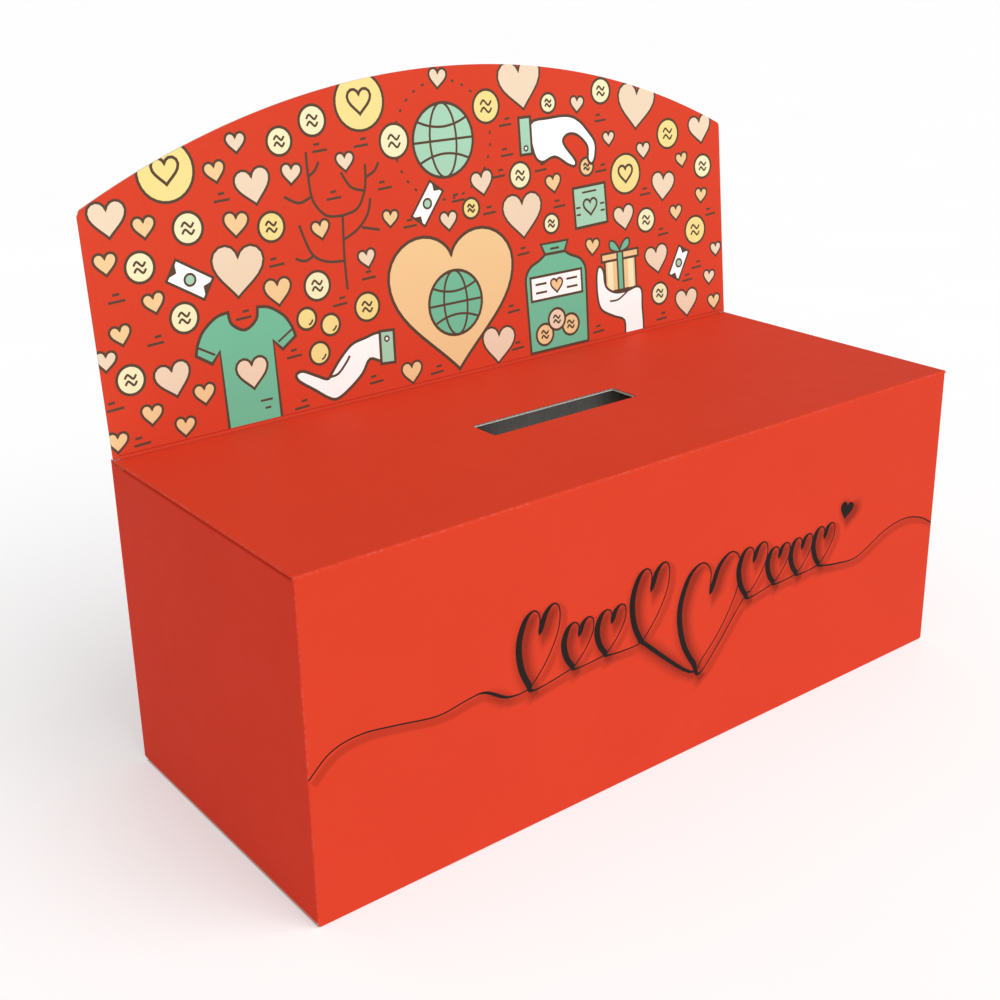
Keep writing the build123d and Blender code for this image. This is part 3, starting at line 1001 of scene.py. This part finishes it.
def dust_flaps():
    face = Panel((0, 0, DUST.hi.z), (1, 0, 0), (0, 1, 0))
    y0, y1 = DUST_Y
    for side, name in ((-1, "left_dust"), (1, "right_dust")):
        root, tip = side * INNER_X[1], side * abs(DUST.lo.x)
        shoulder = tip + side * DUST_CHAMFER
        outline = [
            (root, y0),
            (shoulder, y0),
            (tip, y0 + DUST_CHAMFER),
            (tip, y1 - DUST_CHAMFER),
            (shoulder, y1),
            (root, y1),
        ]
        outline = rounded(outline, (1, 2, 3, 4), DUST_CORNER)
        board(Piece(name, name + "_flap", name + "_flap"), face, outline, swap=True, **SIDES)


def lid():
    tab = TUCK.hi.x + LIP
    side = RIGHT - PRESSED
    span = (INNER_Y[0], LID.hi.y)
    outline = [
        (-side, INNER_Y[0]),
        (side, INNER_Y[0]),
        (side, LID.hi.y),
        (tab, LID.hi.y),
        (tab, TUCK_FOLD.y),
        (-tab, TUCK_FOLD.y),
        (-tab, LID.hi.y),
        (-side, LID.hi.y),
    ]
    board(
        Piece("lid_top", "lid", "lid_panel"),
        Panel((0, 0, HEIGHT), (1, 0, 0), (0, 1, 0), PRESSED, left=-side, right=side),
        outline,
        holes=[rounded(rectangle(SLOT_X, SLOT_Y), (0, 1, 2, 3), SLOT_CORNER)],
        edges=[("left", span), ("right", span)],
    )
    lean = math.radians(TUCK_LEAN)
    along, out = Vector((0, math.sin(lean), math.cos(lean))), Vector((0, math.cos(lean), -math.sin(lean)))
    board(
        Piece("tuck", "tuck_flap", "lid_tuck_flap"),
        Panel(TUCK_FOLD + BOARD * out, (-1, 0, 0), along),
        rounded(rectangle((-TUCK.hi.x, TUCK.hi.x), (-TUCK_LENGTH, 0)), (0, 1), TUCK_CORNER),
    )


# ---------------- the header card

header_lean = math.radians(HEADER_LEAN)
header_up = Vector((0, math.sin(header_lean), math.cos(header_lean)))
header_out = Vector((0, -math.cos(header_lean), math.sin(header_lean)))


def header_outline(inset):
    """The card's outline, with its straight sides moved in.

    Its foot reaches lower on each side of the crease that joins it to the tongue.
    """
    half, notch = RIGHT - inset, TONGUE.hi.x + SLIT
    right_foot = [(notch, CREASE_TOP), (notch, SHOULDER), (half, SHOULDER)]
    foot = [(-x, y) for x, y in reversed(right_foot)] + right_foot
    radius = (RIGHT**2 + HEADER_RISE**2) / (2 * HEADER_RISE)
    turn = math.degrees(math.asin(RIGHT / radius))
    arch = arc(0, HEADER_SIDE + HEADER_RISE - radius, radius, 90 - turn, 90 + turn, 64)
    outline = foot + [(x * (1 - inset / RIGHT), y) for x, y in arch]
    return rounded(outline, (len(foot), len(outline) - 1), HEADER_CORNER, 3)


def header():
    tip = TONGUE.hi.x - TONGUE_TAPER
    low, high = TONGUE.lo.z, TONGUE.hi.z
    tongue = [(-tip, low), (tip, low), (TONGUE.hi.x, high), (TONGUE.lo.x, high)]
    board(
        Piece("header_tongue", "header_insert", "header_insert_tongue", slot="header_board"),
        Panel((0, TONGUE.lo.y, 0), (1, 0, 0), (0, 0, 1)),
        rounded(tongue, (0, 1), TONGUE_CORNER),
        ink="liner",
        edge_ink="red",
        art=lambda art: art.fill(rectangle((TONGUE.lo.x, TONGUE.hi.x), (high - TONGUE_RED, high + 1)), "red"),
    )
    board(
        Piece("header_card", "header_display", "header_panel", slot="header_board"),
        Panel(CREASE["header_tilt"] + BOARD / 2 * header_out, (1, 0, 0), header_up),
        header_outline(PRESSED + LINER),
        ink="liner",
        edge_ink="red",
        art=lambda art: art.fill(rectangle((LEFT, RIGHT), (-1, FOOT_RED)), "red"),
    )
    origin = CREASE["header_tilt"] + (BOARD / 2 + ARTWORK) * header_out
    face = Panel(origin, (1, 0, 0), header_up, PRESSED, left=PRESSED - RIGHT, right=RIGHT - PRESSED)
    straight = (SHOULDER, HEADER_SIDE - 2 * PRESSED)
    strips = [strip for side in ("left", "right") for strip in pressed(face, side, straight, 0.25)]
    layers = Drawing([header_outline(PRESSED)] + strips, "red")
    giving_pattern(layers)
    artwork = Piece("header_artwork", "header_display", "header_artwork_sheet", slot="header_print")
    artwork.sheet(face, layers, 0, ARTWORK, "cut", "red")
    artwork.make()


# ---------------- glue and creases

def beads(piece, panel, u, v, depth, count):
    """Stripes of glue pressed flat between two panels."""
    step = (v[1] - v[0]) / count
    for i in range(count):
        y = v[0] + step * (i + 0.5)
        middle = [(u[0] + (u[1] - u[0]) * k / 24, y + 0.4 * math.sin(1.7 * k + 2.3 * i)) for k in range(25)]
        sides = ribbon(middle, [step * (0.5 + 0.12 * math.sin(2.1 * k + i)) for k in range(25)])
        outline = [a for a, _ in sides][::-1] + [b for _, b in sides]
        piece.sheet(panel, Drawing([outline], "glue"), 0, depth, "glue", "glue")


def glue():
    base = Piece("base_glue", "carton", "base_glue_strips", slot="dried_glue")
    face = Panel((0, 0, BOARD), (1, 0, 0), (0, -1, 0))
    near, far = (20, 12), (130, 50)
    for u in ((-far[0], -near[0]), (near[0], far[0])):
        for v in ((-far[1], -near[1]), (near[1], far[1])):
            beads(base, face, u, v, BASE_INNER.lo.z - BOARD, 5)
    base.make()
    seam = Piece("seam_glue", "carton", "seam_glue_strip", slot="dried_glue")
    lo, hi = node_box("seam_glue_strip")
    face = Panel((lo.x, 0, 0), (0, 0, 1), (0, 1, 0))
    beads(seam, face, (lo.z, hi.z), (lo.y, hi.y), hi.x - lo.x, 2)
    seam.make()


def bent_strip(piece, rings, inks):
    """A crease's strip, curved in one fixed shape, from rings of four points: two outside, then two inside.

    The inks are the outer face's, the inner face's and the sides'.
    """
    points = [point for ring in rings for point in ring]
    normal = (points[4] - points[0]).cross(points[5] - points[4])
    faces = strip_faces(len(rings), normal.dot(points[0] - points[2]) > 0)
    outer, inner, sides = inks
    piece.add(points, faces, ["cut", "cut"] + [outer, inner, sides, sides] * (len(rings) - 1))
    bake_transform(piece.make())


def crease(name, bodies, centre, side, span, angles, ink="red_carton", inside="liner"):
    """A crease of the carton: crushed board in an arc about its inner corner, along the span.

    The angles are measured from the side direction up towards Z. The span runs along X or Y, across the side.
    """
    steps = 10
    line = Vector((side.y, side.x, 0))
    rings = []
    for step in range(steps + 1):
        share = step / steps
        angle = math.radians(angles[0] + (angles[1] - angles[0]) * share)
        ray = side * math.cos(angle) + UP * math.sin(angle)
        inner = BOARD - CRUSHED - (BOARD - CRUSHED - LINER) * (1 - math.sin(math.pi * share))
        rings.append([centre + ray * radius + line * end for radius in (BOARD, inner) for end in span])
    bent_strip(Piece(name, None), rings, (ink, inside, ink))


def header_crease():
    """The crease between the header card and its tongue: board pressed thinner, across the tongue's width."""
    centre = CREASE["header_tilt"]
    across = (TONGUE.lo.x, TONGUE.hi.x)
    rings = []
    for step in (CREASE_REACH * i / 3 for i in range(-3, 4)):
        up, out = (header_up, header_out) if step > 0 else (UP, Vector((0, -1, 0)))
        half = BOARD / 2 * (0.62 + 0.5 * abs(step))
        middle = centre + up * step
        rings.append([middle + out * half * sign + Vector((x, 0, 0)) for sign in (1, -1) for x in across])
    piece = Piece("header_crease", None, slot="header_board")
    bent_strip(piece, rings, ("red", "liner", "cut"))


def creases():
    rearward, rightward = Vector((0, 1, 0)), Vector((1, 0, 0))
    lid_fold = Vector((0, INNER_Y[0], HEIGHT - BOARD))
    tuck_x = (TUCK.lo.x, TUCK.hi.x)
    crease("lid_crease", ("carton", "lid"), lid_fold, rearward, (LEFT, RIGHT), (180, 90))
    crease("tuck_crease", ("lid", "tuck_flap"), TUCK_FOLD, rearward, tuck_x, (90, -TUCK_LEAN))
    for name, x, start in (("left_dust", INNER_X[0], 180), ("right_dust", INNER_X[1], 0)):
        fold = Vector((x, 0, DUST_FOLD_Z))
        bodies = ("carton", name + "_flap")
        crease(name + "_crease", bodies, fold, rightward, DUST_Y, (start, 90), **SIDES)
    header_crease()


walls()
base_flaps()
dust_flaps()
lid()
header()
glue()
creases()


# ---------------- studio

def place(name, data, turns=(), spot=(0, 0, 0)):
    """An object of the studio in the scene. Each turn is an angle about one of its own axes."""
    obj = bpy.data.objects.new(name, data)
    matrix = Matrix.Translation(spot)
    for degrees, axis in turns:
        matrix = matrix @ Matrix.Rotation(math.radians(degrees), 4, axis)
    obj.matrix_world = matrix
    bpy.context.scene.collection.objects.link(obj)
    return obj


def floor():
    """Pale paper that glows a little, so that it meets the white backdrop without an edge."""
    reach = 60
    mesh = bpy.data.meshes.new("floor")
    corners = [(x, y, 0) for x, y in rectangle((-reach, reach), (-reach, reach))]
    mesh.from_pydata(corners, [], [(0, 1, 2, 3)])
    nodes = Nodes("floor_paper")
    tone = nodes.mix(nodes.noise(6.0), (0.6, 0.6, 0.6), (0.63, 0.63, 0.63))
    glow = {"emission_color": (1, 1, 1, 1), "emission_strength": 0.36}
    nodes.set(base_color=tone, roughness=0.7, specular_ior_level=0.2, **glow)
    mesh.materials.append(nodes.material)
    place("floor", mesh)


def backdrop():
    """Soft light from all round, with plain white behind the object for the camera."""
    world = bpy.data.worlds.new("studio")
    world.use_nodes = True
    tree = world.node_tree
    ambient = tree.nodes["Background"]
    white = tree.nodes.new("ShaderNodeBackground")
    for background, strength in ((ambient, 0.48), (white, 0.98)):
        background.inputs["Color"].default_value = (1, 1, 1, 1)
        background.inputs["Strength"].default_value = strength
    rays = tree.nodes.new("ShaderNodeLightPath")
    seen = tree.nodes.new("ShaderNodeMixShader")
    tree.links.new(rays.outputs["Is Camera Ray"], seen.inputs[0])
    tree.links.new(ambient.outputs[0], seen.inputs[1])
    tree.links.new(white.outputs[0], seen.inputs[2])
    tree.links.new(seen.outputs[0], tree.nodes["World Output"].inputs["Surface"])
    bpy.context.scene.world = world


def lamps():
    for name, around, above, softness, power in (
        ("key", 25, 53, 50, 1.8),
        ("fill", -37, 19, 12, 1.0),
    ):
        light = bpy.data.lights.new(name, "SUN")
        light.angle = math.radians(softness)
        light.energy = power
        place(name, light, ((around, "Z"), (90 - above, "X")))


def camera():
    lens = bpy.data.cameras.new("camera")
    lens.sensor_width = 36
    lens.lens = 52.2
    lens.shift_y = -0.06
    around, above, roll = -37.6, 19.96, -1.0
    turns = ((around, "Z"), (90 - above, "X"), (roll, "Z"))
    bpy.context.scene.camera = place("camera", lens, turns, (-0.335, -0.398, 0.2997))
    bpy.context.scene.view_settings.view_transform = "Standard"


floor()
backdrop()
lamps()
camera()
